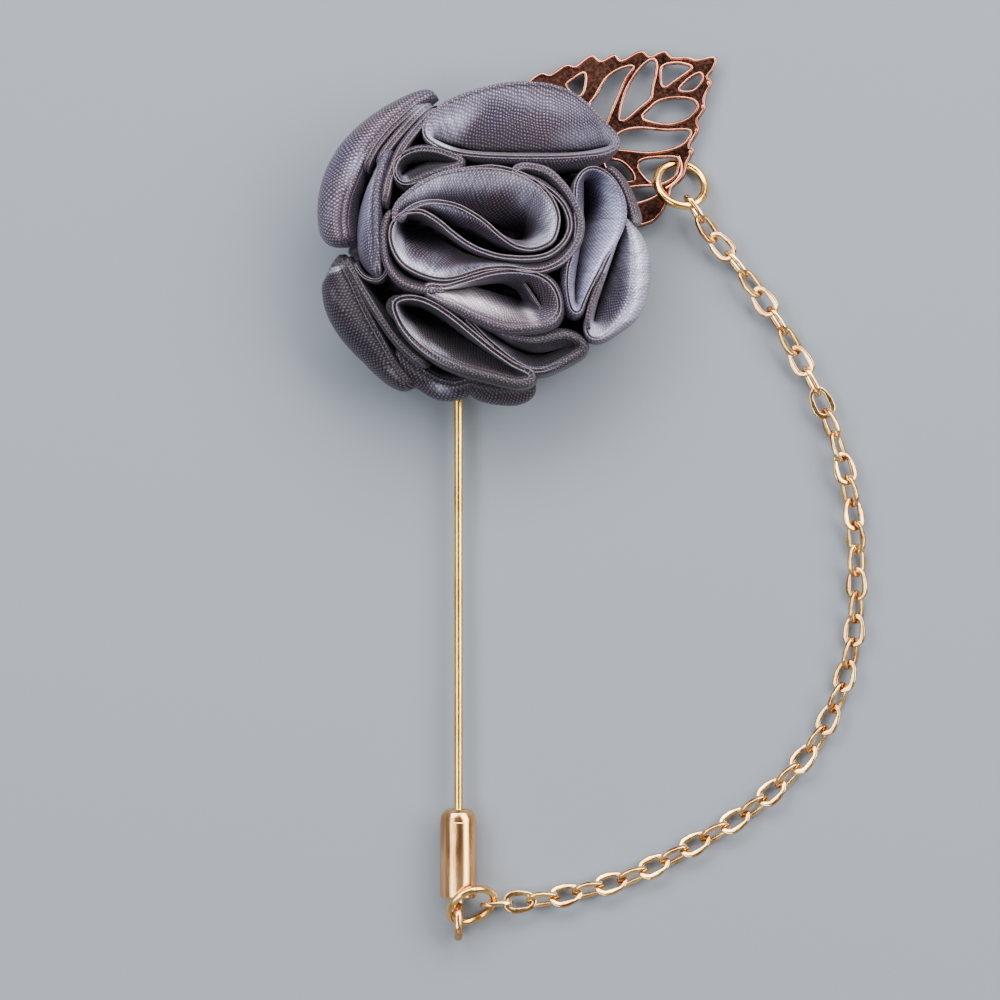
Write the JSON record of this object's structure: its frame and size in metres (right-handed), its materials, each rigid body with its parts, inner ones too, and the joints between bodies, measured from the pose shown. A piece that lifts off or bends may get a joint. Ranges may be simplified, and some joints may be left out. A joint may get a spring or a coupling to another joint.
{
  "type": "flower lapel pin",
  "caption": "Folded satin flower on a stick pin, with a pierced metal leaf and a fine chain that runs from the leaf to the clutch on the pin's point.",
  "frame": {"origin": "middle of the pin's outline as it lies, at the height of the surface that it lies on", "axes": "+Y runs along the pin's wire from its point to the flower, +X towards the side that the chain bows to, +Z out of the flower's face"},
  "size_m": [0.0596, 0.0976, 0.0154],
  "materials": {
    "satin": "grey-mauve satin with a lilac sheen and a fine dotted twill",
    "satin_dark": "the same satin, gathered and in shade",
    "felt": "matt felt",
    "antique_copper": "antiqued copper plate, dark in the hollows and bright on the raised rims",
    "gold_wire": "polished pale gold plate",
    "rose_gold": "brushed rose gold plate",
    "champagne_gold": "polished champagne gold plate"
  },
  "bodies": {
    "root": {"back_pad": "felt", "gathered_base": "satin_dark", "petal_centre_right": "satin", "petal_centre_left": "satin", "petal_centre_wrap": "satin", "petal_top": "satin", "petal_small": "satin", "petal_left": "satin", "petal_left_outer": "satin", "petal_lower_left": "satin", "petal_bottom": "satin", "petal_lower_right": "satin", "petal_middle": "satin", "petal_right": "satin", "petal_right_outer": "satin", "petal_under": "satin", "leaf": "antique_copper", "pin_stem": "gold_wire", "clutch": "rose_gold", "upper_ring": "gold_wire", "lower_ring": "gold_wire", "chain": "champagne_gold"}
  },
  "joints": []
}
